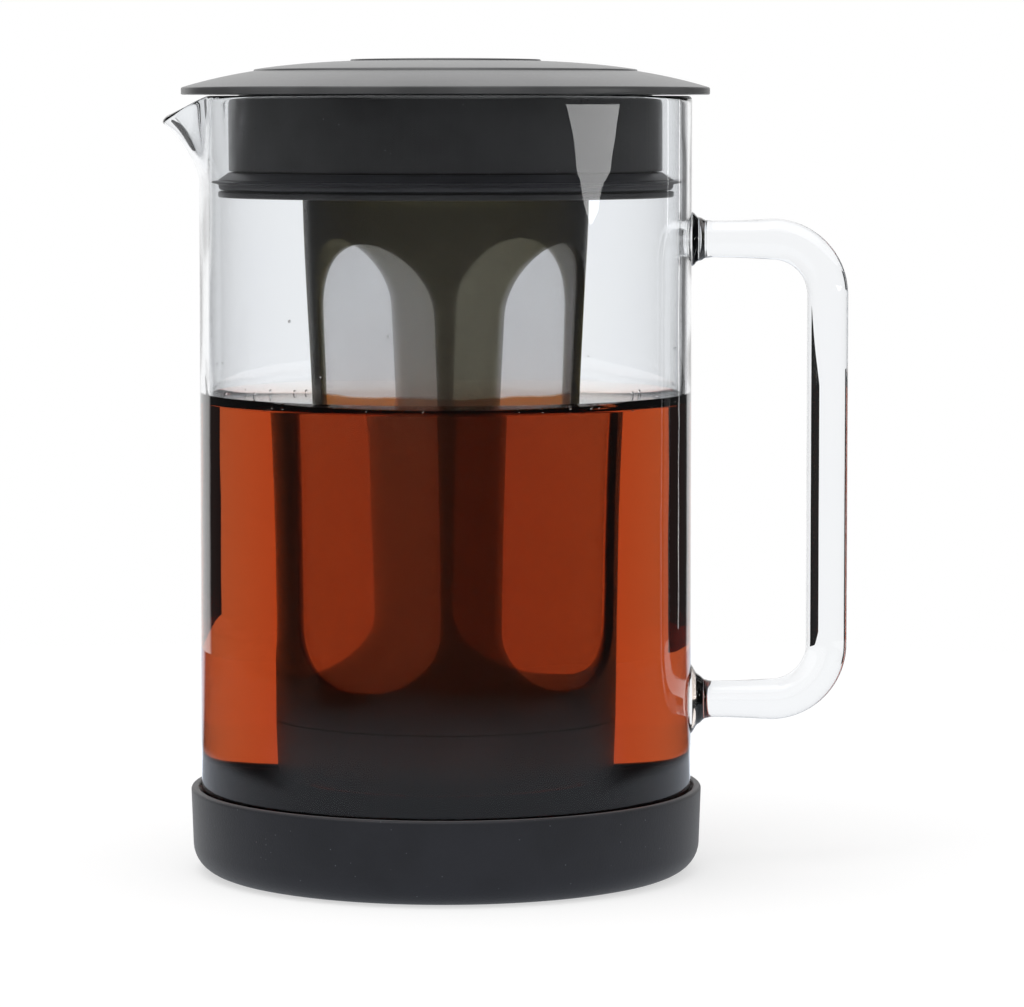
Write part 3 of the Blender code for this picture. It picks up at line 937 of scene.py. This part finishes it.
@dataclass(frozen=True)
class Scatter:
    """Small beads scattered over a turned band, made with Geometry Nodes."""

    name: str
    band: Sequence[Point]
    count: int
    low: float
    high: float
    seed: int
    steps: int = 96

    def _tree(self) -> bpy.types.NodeTree:
        """Build the node tree, with named inputs for its sizes."""
        tree = bpy.data.node_groups.new(self.name, "GeometryNodeTree")
        sockets = [("Geometry", "Geometry"), ("Density", "Float"), ("Smallest Radius", "Float")]
        sockets += [("Largest Radius", "Float"), ("Seed", "Int"), ("Material", "Material")]
        for name, kind in sockets:
            tree.interface.new_socket(name=name, in_out="INPUT", socket_type="NodeSocket" + kind)
        tree.interface.new_socket(name="Geometry", in_out="OUTPUT", socket_type="NodeSocketGeometry")
        kinds = ["NodeGroupInput", "GeometryNodeDistributePointsOnFaces", "GeometryNodeInstanceOnPoints"]
        kinds += ["GeometryNodeRealizeInstances", "GeometryNodeSetShadeSmooth", "GeometryNodeSetMaterial"]
        chain = [tree.nodes.new(kind) for kind in [*kinds, "NodeGroupOutput"]]
        given, points, instances, _, _, dress, _ = chain
        bead = tree.nodes.new("GeometryNodeMeshIcoSphere")
        bead.inputs["Radius"].default_value = 1.0
        bead.inputs["Subdivisions"].default_value = 2
        size = tree.nodes.new("FunctionNodeRandomValue")
        size.data_type = "FLOAT"
        low, high = [socket for socket in size.inputs if socket.type == "VALUE"][:2]
        result = next(socket for socket in size.outputs if socket.type == "VALUE")
        links = [(before.outputs[0], after.inputs[0]) for before, after in zip(chain, chain[1:])]
        links += [
            (given.outputs["Density"], points.inputs["Density"]),
            (given.outputs["Seed"], points.inputs["Seed"]),
            (given.outputs["Smallest Radius"], low),
            (given.outputs["Largest Radius"], high),
            (given.outputs["Seed"], size.inputs["Seed"]),
            (bead.outputs["Mesh"], instances.inputs["Instance"]),
            (result, instances.inputs["Scale"]),
            (given.outputs["Material"], dress.inputs["Material"]),
        ]
        for start, end in links:
            tree.links.new(start, end)
        return tree

    def mesh(self, material: bpy.types.Material) -> bpy.types.Mesh:
        """Scatter the beads.

        Args:
            material: the beads' material.

        Returns:
            The beads as one plain mesh.
        """
        (first_radius, first_height), (last_radius, last_height) = self.band
        angles = [TURN * step / self.steps for step in range(self.steps)]
        corners = [(radius * math.cos(a), radius * math.sin(a), height) for radius, height in self.band for a in angles]
        faces = bridge(range(self.steps), range(self.steps, 2 * self.steps))
        slope = math.hypot(last_radius - first_radius, last_height - first_height)
        area = math.pi * (first_radius + last_radius) * slope
        carrier = linked(self.name + "_band", plain_mesh(self.name, corners, faces))
        modifier = carrier.modifiers.new("scatter", "NODES")
        tree = self._tree()
        modifier.node_group = tree
        given = {
            "Density": self.count / area,
            "Smallest Radius": self.low,
            "Largest Radius": self.high,
            "Seed": self.seed,
            "Material": material,
        }
        for item in tree.interface.items_tree:
            if item.in_out == "INPUT" and item.name in given:
                modifier[item.identifier] = given[item.name]
        result = settled(carrier)
        carrier.modifiers.clear()
        bpy.data.objects.remove(carrier, do_unlink=True)
        return result


@dataclass
class Coffee:
    """The coffee that stands in the jug, with the small bubbles at its edge and the drops above it."""

    jug: GlassJug
    into_glass: float = 0.0006
    foot_rounding: float = 0.0046
    meniscus_width: float = 0.0100
    meniscus_decay: float = 0.0016
    bubbles_off: tuple[float, float] = (0.0006, 0.0030)
    drops_above: tuple[float, float] = (0.006, 0.024)
    bubble_count: int = 46
    drop_count: int = 16
    steps: int = 256

    def _climb(self, off: float) -> float:
        """Return how far the coffee climbs above its level at a distance off the glass."""
        end = math.exp(-self.meniscus_width / self.meniscus_decay)
        return self.jug.meniscus_rise * (math.exp(-off / self.meniscus_decay) - end) / (1 - end)

    def _body_mesh(self) -> bpy.types.Mesh:
        """Return the coffee's body, which reaches into the glass all round."""
        jug, edge, level = self.jug, self.jug.inner_radius, self.jug.brew_level
        floor = jug.foot_height + jug.floor - self.into_glass
        outer = edge + self.into_glass
        outline = [(0.0, floor)]
        outline += arc((outer - self.foot_rounding, floor + self.foot_rounding), self.foot_rounding, -90, 0, 10)
        outline += [(outer, height) for height in np.linspace(floor + 0.01, level, 20)]
        outline.append((outer, jug.contact_height))
        for share in np.linspace(0, 1, 16) ** 1.6:
            off = self.meniscus_width * share
            outline.append((edge - off, level + self._climb(off)))
        outline += [(edge * 0.66, level), (edge * 0.33, level), (0.0, level)]
        return turned_mesh("coffee", outline, self.steps)

    def build(self) -> None:
        """Fill the jug and add the bubbles and drops."""
        edge, level = self.jug.inner_radius, self.jug.brew_level
        add_piece("coffee", self._body_mesh(), Body.CARAFE, extra=[Brew(level, edge).make()])
        ring = [(edge - off, level + self._climb(off)) for off in self.bubbles_off]
        splash = [(edge - 0.0001, level + above) for above in self.drops_above]
        clear = ClearGlass("water_bead", (0.97, 0.98, 0.99), WATER_INDEX).make()
        for scatter in (
            Scatter("coffee_bubbles", ring, self.bubble_count, 0.00018, 0.00045, seed=4),
            Scatter("glass_drops", splash, self.drop_count, 0.00012, 0.00034, seed=11),
        ):
            add_piece(scatter.name, scatter.mesh(clear), Body.CARAFE, extra=[clear])


@dataclass
class Filter:
    """The long filter: a windowed smoke-plastic frame, its mesh sleeve, its lugs and its twist-off cap."""

    top: float = 0.1603
    collar_radius: float = 0.0324
    taper: float = 0.0034
    wall: float = 0.0018
    collar_length: float = 0.0080
    neck_length: float = 0.0480
    neck_share: float = 1.5
    length: float = 0.1253
    window_count: int = 4
    window_top_drop: float = 0.0173
    window_foot_rise: float = 0.0086
    window_corner: float = 0.0140
    rib_width: float = 0.0132
    rib_turn: float = math.radians(-79.4)
    mesh_thickness: float = 0.0004
    mesh_top_drop: float = 0.0100
    cap_seat: float = 0.0347
    cap_height: float = 0.0137
    cap_draw: float = 0.0004
    cap_floor: float = 0.0018
    cap_foot_rounding: float = 0.0035
    spigot_length: float = 0.0043
    spigot_wall: float = 0.0016
    lug_root: float = 0.0009
    lug_reach: float = 0.0018
    lug_width: float = 0.0080
    lug_height: float = 0.0020
    lug_drop: float = 0.0052
    steps: int = 200

    @property
    def foot_radius(self) -> float:
        """Radius of the frame at its foot."""
        return self.collar_radius - self.taper

    def _fall(self, drop: float) -> float:
        """Return how far the taper has fallen, from 0 towards 1, at a distance below the top."""
        return 1 - math.exp(-(max(0.0, drop - self.collar_length) / self.neck_length) ** self.neck_share)

    def radius(self, drop: float) -> float:
        """Return the frame's outer radius at a distance below the top."""
        return self.collar_radius - self.taper * self._fall(drop) / self._fall(self.length)

    def _tube(self, name: str, drops: Sequence[float], inset: float, wall: float) -> bpy.types.Mesh:
        """Turn a tube that follows the taper.

        Args:
            name: the mesh's name.
            drops: the rings' distances below the top.
            inset: how far the tube's outside lies inside the frame's.
            wall: the tube's wall.

        Returns:
            The tube.
        """
        outer = [(self.radius(drop) - inset, self.top - drop) for drop in drops]
        inner = [(radius - wall, height) for radius, height in reversed(outer)]
        return turned_mesh(name, outer + inner, self.steps, closed=True)

    def _window(self, number: int) -> bpy.types.Mesh:
        """Make the cutter of one window, a prism that points outwards.

        Args:
            number: the window's number.

        Returns:
            The cutter.
        """
        middle = self.radius((self.window_top_drop + self.length - self.window_foot_rise) / 2)
        half_angle = math.pi / self.window_count - self.rib_width / (2 * middle)
        half = middle * math.sin(half_angle)
        corner = min(self.window_corner, half)
        low = self.window_foot_rise - self.length
        outline = arc((0, -self.window_top_drop - half), half, 0, 180, 40)
        outline += arc((corner - half, low + corner), corner, 180, 270, 16)
        outline += arc((half - corner, low + corner), corner, 270, 360, 16)
        angle = self.rib_turn + TURN * (number + 0.5) / self.window_count
        cos, sin = math.cos(angle), math.sin(angle)
        corners = []
        for reach in (self.collar_radius * 0.5, self.collar_radius * 1.5):
            corners += [(reach * cos - a * sin, reach * sin + a * cos, self.top + h) for a, h in outline]
        return rings_mesh("window", corners, len(outline), caps_first=True)

    def _frame_mesh(self) -> bpy.types.Mesh:
        """Return the frame with its lugs and windows."""
        drops = [0.0, self.collar_length * 0.5, *np.linspace(self.collar_length, self.length, 40)]
        foot = self.top - self.lug_drop - FIT_GAP
        low = (self.collar_radius - self.lug_root, -self.lug_width / 2, foot)
        high = (self.collar_radius + self.lug_reach - FIT_GAP, self.lug_width / 2, foot + self.lug_height)
        mesh = combined(self._tube("frame", drops, 0.0, self.wall), lug_blocks("lug", low, high), "UNION")
        return combined(mesh, [self._window(number) for number in range(self.window_count)], "DIFFERENCE")

    def _cap_mesh(self) -> bpy.types.Mesh:
        """Return the cap with its spigot."""
        spigot = self.foot_radius - self.wall - FIT_GAP
        inner = spigot - self.spigot_wall
        low = self.cap_seat - self.cap_height
        high = self.cap_seat + self.spigot_length
        outline = rounded(
            [
                (0.0, low + self.cap_floor),
                (inner, low + self.cap_floor, 0.0015),
                (inner, high, 0.0004),
                (spigot, high, 0.0004),
                (spigot, self.cap_seat, 0.0001),
                (self.foot_radius, self.cap_seat, 0.0003),
                (self.foot_radius - self.cap_draw, low, self.cap_foot_rounding),
                (0.0, low),
            ],
            steps=8,
        )
        return turned_mesh("cap", outline, self.steps)

    def build(self) -> None:
        """Build the frame, the sleeve and the cap."""
        add_piece("filter_body", self._frame_mesh(), Body.FILTER, "smoke_plastic", ["filter_frame"])
        drops = np.linspace(self.mesh_top_drop, self.length - self.spigot_length, 44)
        sleeve = self._tube("sleeve", drops, self.wall + FIT_GAP, self.mesh_thickness)
        add_piece("filter_sleeve", sleeve, Body.FILTER, "filter_weave", ["filter_mesh"])
        add_piece("filter_foot_cap", self._cap_mesh(), Body.CAP, "smoke_plastic", ["filter_cap"])


@dataclass
class Lid:
    """The lid: a domed top in three tiers, the hollow plug under it and the soft seal."""

    seat: float = 0.1760
    radius: float = 0.0597
    edge_height: float = 0.0016
    edge_rounding: float = 0.00045
    edge_blend: float = 0.00012
    under_rounding: float = 0.0003
    dome_rise: float = 0.0059
    dome_share: float = 3.1
    tier_step: float = 0.00035
    tier_softness: float = 0.00022
    outer_tier: float = 0.0433
    inner_tier: float = 0.0215
    skin: float = 0.0018
    spigot_length: float = 0.0050
    spigot_wall: float = 0.0016
    plug_radius: float = 0.0490
    plug_wall: float = 0.0020
    plug_depth: float = 0.0230
    flange_radius: float = 0.0515
    flange_height: float = 0.0013
    plug_floor: float = 0.0016
    top_chamfer: float = 0.0010
    groove_height: float = 0.0045
    groove_depth: float = 0.0024
    bore: float = 0.0327
    socket_shelf: float = 0.0014
    socket_height: float = 0.0076
    socket_wall: float = 0.0016
    socket_roof: float = 0.0016
    socket_radius: float = 0.0349
    notch_width: float = 0.0088
    notch_play: float = 0.002
    seal_radius: float = 0.0514
    seal_lip_radius: float = 0.0532
    seal_shoulder: float = 0.0016
    seal_lip_height: float = 0.0013
    seal_lip_thickness: float = 0.0008
    steps: int = 240

    def _dome(self, radius: float) -> float:
        """Return the height of the dome, without its tiers, at a radius."""
        return self.seat + self.edge_height + self.dome_rise * (1 - (radius / self.radius) ** self.dome_share)

    def _top_mesh(self) -> bpy.types.Mesh:
        """Return the domed top with its rounded edge and hollow underside."""
        outline: list[Point] = []
        bounds = (0.0, self.inner_tier, self.outer_tier, self.radius)
        soft, crease = self.tier_softness, self.tier_softness * 0.3
        for level, start, end in zip((2, 1, 0), bounds, bounds[1:]):
            first = start if level == 2 else start + crease
            last = end - soft if level else end - self.edge_rounding
            step = level * self.tier_step
            outline += [(radius, self._dome(radius) + step) for radius in np.linspace(first, last, 24)]
            if level:
                outline.append((end - crease, self._dome(end) + step - crease))
        edge = self.seat + self.edge_height - self.edge_rounding + self.edge_blend
        under = self.under_rounding
        outline += arc((self.radius - self.edge_rounding, edge), self.edge_rounding, 78, 0, 6)
        outline += arc((self.radius - under, self.seat + under), under, 0, -90, 4)
        spigot = self.plug_radius - self.plug_wall - FIT_GAP
        inner = spigot - self.spigot_wall
        low = self.seat - self.spigot_length
        outline += [(spigot, self.seat), (spigot, low), (inner, low)]
        outline += [(radius, self._dome(radius) - self.skin) for radius in np.linspace(inner, 0, 20)]
        return turned_mesh("top", outline, self.steps)

    def _plug_mesh(self) -> bpy.types.Mesh:
        """Return the plug with its groove, flange and socket."""
        bottom = self.seat - self.plug_depth
        shelf = bottom + self.socket_shelf
        floor = bottom + self.plug_floor
        roof = bottom + self.socket_height
        flange_top = bottom + self.flange_height
        groove_top = flange_top + self.groove_height
        step_top = groove_top + self.plug_wall
        rim = self.seat - FIT_GAP
        skirt_inner = self.plug_radius - self.plug_wall
        root = self.plug_radius - self.groove_depth
        core = root - self.plug_wall
        socket_outer = self.socket_radius + self.socket_wall
        outline = rounded(
            [
                (0.0, roof + self.socket_roof),
                (socket_outer, roof + self.socket_roof, 0.0006),
                (socket_outer, floor, 0.0006),
                (core, floor, 0.0006),
                (core, step_top, 0.0006),
                (skirt_inner, step_top + self.plug_wall, 0.0006),
                (skirt_inner, rim, 0.0002),
                (self.plug_radius - self.top_chamfer, rim, 0.0004),
                (self.plug_radius, rim - self.top_chamfer, 0.0004),
                (self.plug_radius, groove_top, 0.0003),
                (root, groove_top, 0.0002),
                (root, flange_top, 0.0002),
                (self.flange_radius, flange_top, 0.0003),
                (self.flange_radius, bottom, 0.0004),
                (self.bore, bottom, 0.0003),
                (self.bore, shelf, 0.0002),
                (self.socket_radius, shelf, 0.0002),
                (self.socket_radius, roof, 0.0003),
                (0.0, roof),
            ],
            steps=4,
        )
        low = (self.bore - self.notch_play, -self.notch_width / 2, bottom - self.notch_play)
        high = (self.socket_radius, self.notch_width / 2, shelf + self.notch_play)
        return combined(turned_mesh("plug", outline, self.steps), lug_blocks("notch", low, high), "DIFFERENCE")

    def _seal_mesh(self) -> bpy.types.Mesh:
        """Return the seal with its sloping shoulder and thin lip."""
        low = self.seat - self.plug_depth + self.flange_height + FIT_GAP
        high = low + self.groove_height - 2 * FIT_GAP
        inner = self.plug_radius - self.groove_depth + FIT_GAP
        lip_low = low + self.seal_lip_height
        lip_high = lip_low + self.seal_lip_thickness
        outline = rounded(
            [
                (inner, high, 0.0002),
                (self.plug_radius, high, 0.0004),
                (self.seal_radius, high - self.seal_shoulder, 0.0005),
                (self.seal_radius, lip_high, 0.0003),
                (self.seal_lip_radius, lip_high - 0.0001, 0.00025),
                (self.seal_lip_radius, lip_low + self.seal_lip_thickness / 2, 0.0001),
                (self.seal_radius, lip_low, 0.0003),
                (self.seal_radius, low, 0.0009),
                (inner, low, 0.0002),
            ],
            steps=5,
            closed=True,
        )
        return turned_mesh("seal", outline, self.steps, closed=True)

    def build(self) -> None:
        """Build the top, the plug and the seal."""
        add_piece("lid_dome", self._top_mesh(), Body.LID, "lid_plastic", ["lid_top"])
        add_piece("lid_skirt", self._plug_mesh(), Body.LID, "plug_plastic", ["lid_plug"])
        add_piece("lid_seal_ring", self._seal_mesh(), Body.SEAL, "seal_silicone", ["lid_seal"])


@dataclass
class Studio:
    """The white table and background, the lights and the camera."""

    camera_at: Corner = (0.015, -1.052, 0.1727)
    camera_down: float = math.radians(4.10)
    camera_shift: float = -0.06
    lens: float = 163.2
    floor_radius: float = 0.45
    floor_thickness: float = 0.004
    floor_pale: float = 0.45
    floor_image: Colour = (0.84, 0.90, 1.0)
    card_distance: float = 0.34
    card_foot: float = 0.008
    card_top: float = 0.092
    card_half_width: float = math.radians(12)
    card_glow: float = 0.015
    handle_card_foot: float = 0.020
    handle_card_top: float = 0.118
    handle_card_end: float = math.radians(54)
    softbox_x: float = 0.55
    softbox_glow: float = 5.8
    strip_degrees: tuple[float, float] = (125.0, 139.5)
    strip_distance: float = 0.5
    strip_half_width: float = 0.004
    strip_height: float = 0.4
    strip_glow: float = 2.5

    def _camera(self) -> None:
        """Place the camera where the photograph was taken from."""
        lens = bpy.data.cameras.new("camera")
        lens.lens = self.lens
        lens.sensor_width = 36.0
        lens.shift_y = self.camera_shift
        lens.clip_start = 0.01
        camera = linked("camera", lens)
        camera.location = self.camera_at
        camera.rotation_euler = (math.pi / 2 - self.camera_down, 0, 0)
        bpy.context.scene.camera = camera

    def _world(self) -> None:
        """Surround the object with white that has a darker side towards the camera.

        A ray that was mirrored, also inside the glass, meets a dark studio with a bright wall behind the object
        and a bright ceiling. One that passed the glass meets white that is darker in front. Light scattered inside
        the glass, and all other light, comes from a plain level.
        """
        world = bpy.data.worlds.new("studio")
        bpy.context.scene.world = world
        graph = Graph(world)
        path = graph.node("ShaderNodeLightPath").socket.node
        names = ("Is Camera Ray", "Is Transmission Ray", "Is Glossy Ray", "Glossy Depth", "Diffuse Depth")
        seen, through, glossy, glossy_depth, soft_depth = (Value(graph, path.outputs[name]) for name in names)
        bounced = glossy_depth.maths("MINIMUM", 1.0)
        glossy = glossy.maths("MAXIMUM", bounced)
        soft = soft_depth.maths("MINIMUM", 1.0)
        across, deep, up = graph.axes(graph.node("ShaderNodeTexCoord", output="Generated"))
        aside = across.maths("ARCTAN2", deep)
        steep = up.maths("ABSOLUTE")
        behind = aside.step(-0.66, -0.58) * aside.step(0.46, 0.38)
        wall = behind * (1 - steep.step(0.50, 0.80)) * 0.95 + behind * up.step(0.10, 0.34) * 0.28
        mirrored = 0.05 + wall + up.step(0.62, 0.80) * 0.75
        passed = 1 - (-deep).step(0.45, 0.80) * steep.step(0.45, 0.25) * 0.65
        spread = 0.72 + up.step(-0.2, 1.0) * 0.25
        strength = spread + glossy * (1 - through * soft) * (mirrored - spread)
        left = through * (1 - bounced * 0.85) * (1 - soft * 0.85)
        strength = strength + left * (passed - strength)
        strength = strength + seen * (1 - strength)
        graph.out(graph.shader("Background", Strength=strength), world=True)

    def _floor(self) -> None:
        """Lay a pale round table that keeps the object's shadow, and shows a darker image of itself in the glass."""
        material, graph = new_material("white_table")
        radius, angle, _ = graph.turned()
        aside = angle.maths("ABSOLUTE")
        path = graph.node("ShaderNodeLightPath").socket.node
        names = ("Is Camera Ray", "Is Transmission Ray", "Is Glossy Ray")
        seen, through, glossy = (Value(graph, path.outputs[name]) for name in names)
        away = radius.step(0.12, self.floor_radius * 0.9)
        glow = (away * self.floor_pale + (1.03 - self.floor_pale)) * (through + seen).maths("MINIMUM", 1.0)
        near = aside.step(1.62, 2.06) * radius.step(self.floor_radius * 0.97, 0.24)
        front = near.maths("MAXIMUM", radius.step(0.235, 0.200))
        image = 0.04 + front * 0.55 + aside.step(0.60, 0.46) * 0.95
        pale = (self.floor_pale,) * 3
        shader = graph.principled(
            Base_Color=graph.mix(away, graph.mix(graph.noise(60), pale, shaded(pale, 0.98)), (0.0, 0.0, 0.0)),
            Roughness=0.9,
            Specular_IOR_Level=0.0,
        )
        both = graph.node("ShaderNodeAddShader", inputs={0: shader, 1: graph.shader("Emission", Strength=glow)})
        glint = graph.shader("Emission", (*self.floor_image, 1.0), Strength=image)
        graph.out(graph.blend(glossy * (1 - through), both, glint))
        edge, under = self.floor_radius, -self.floor_thickness
        mesh = turned_mesh("table", [(0.0, 0.0), (edge, 0.0), (edge, under), (0.0, under)], 96)
        mesh.materials.append(material)
        linked("table", mesh)

    def _panel(self, name: str, corners: Sequence[Corner], glow: float, seen: Seen) -> None:
        """Stand a flat panel in the studio that only some rays meet.

        Args:
            name: its name.
            corners: its corners.
            glow: how bright it is.
            seen: the rays that meet it.
        """
        material, graph = new_material(name)
        graph.out(graph.shader("Emission", Strength=glow))
        mesh = plain_mesh(name, corners, [tuple(range(len(corners)))])
        mesh.materials.append(material)
        panel = linked(name, mesh)
        for kind in ("camera", "diffuse", "glossy", "transmission", "volume_scatter", "shadow"):
            setattr(panel, "visible_" + kind, kind == seen.value)

    def _cards(self) -> None:
        """Stand the dark cards that give the glass and the coffee their dark edges.

        The one that the handle shows has a sloping foot and top, which give the handle's dark line its thin ends.
        """
        for number in range(4):
            middle = (number + 0.5) * math.pi / 2
            start, end = middle - self.card_half_width, middle + self.card_half_width
            foot, top = self.card_foot, self.card_top
            if number == 0:
                end, foot, top = self.handle_card_end, self.handle_card_foot, self.handle_card_top
            (x0, y0), (x1, y1) = [
                (self.card_distance * math.sin(a), self.card_distance * math.cos(a)) for a in (start, end)
            ]
            corners = [(x0, y0, foot), (x1, y1, self.card_foot), (x1, y1, top), (x0, y0, self.card_top)]
            self._panel(f"dark_card_{number}", corners, self.card_glow, Seen.THROUGH_GLASS)

    def _softboxes(self) -> None:
        """Stand the bright panels that the dark plastic and the glass mirror."""
        outline = [(-0.222, 0.138), (-0.110, 0.150), (-0.041, 0.178), (-0.381, 0.178), (-0.303, 0.150)]
        corners = [(self.softbox_x, y, z) for y, z in outline]
        self._panel("side_softbox", corners, self.softbox_glow, Seen.IN_REFLECTIONS)
        for number, degrees in enumerate(self.strip_degrees):
            a = math.radians(degrees)
            spot = np.array([0.0495 + self.strip_distance * math.sin(a), -self.strip_distance * math.cos(a)])
            wide = self.strip_half_width * np.array([math.cos(a), math.sin(a)])
            left, right, top = spot - wide, spot + wide, self.strip_height
            corners = [(*left, 0.0), (*right, 0.0), (*right, top), (*left, top)]
            self._panel(f"light_strip_{number}", corners, self.strip_glow, Seen.IN_REFLECTIONS)

    def _lamps(self) -> None:
        """Hang one large soft lamp above and in front."""
        lamp = bpy.data.lights.new("overhead", "AREA")
        lamp.shape = "DISK"
        lamp.size = 0.9
        lamp.energy = 4.0
        lit = linked("overhead", lamp)
        lit.location = (-0.25, -0.35, 1.1)
        lit.rotation_euler = (math.radians(-16), math.radians(-14), 0)

    def build(self) -> None:
        """Set the studio up."""
        scene = bpy.context.scene
        scene.view_settings.view_transform = "Standard"
        scene.cycles.max_bounces = 20
        scene.cycles.transmission_bounces = 20
        scene.cycles.transparent_max_bounces = 24
        self._camera()
        self._world()
        self._floor()
        self._cards()
        self._softboxes()
        self._lamps()


def main() -> None:
    """Build the studio and the sub-assemblies in order."""
    logging.basicConfig(level=logging.INFO, format="%(message)s")
    jug = GlassJug()
    for assembly in (Studio(), Boot(), jug, Coffee(jug), Filter(), Lid()):
        logging.info("building %s", type(assembly).__name__)
        assembly.build()


if __name__ == "__main__":
    main()
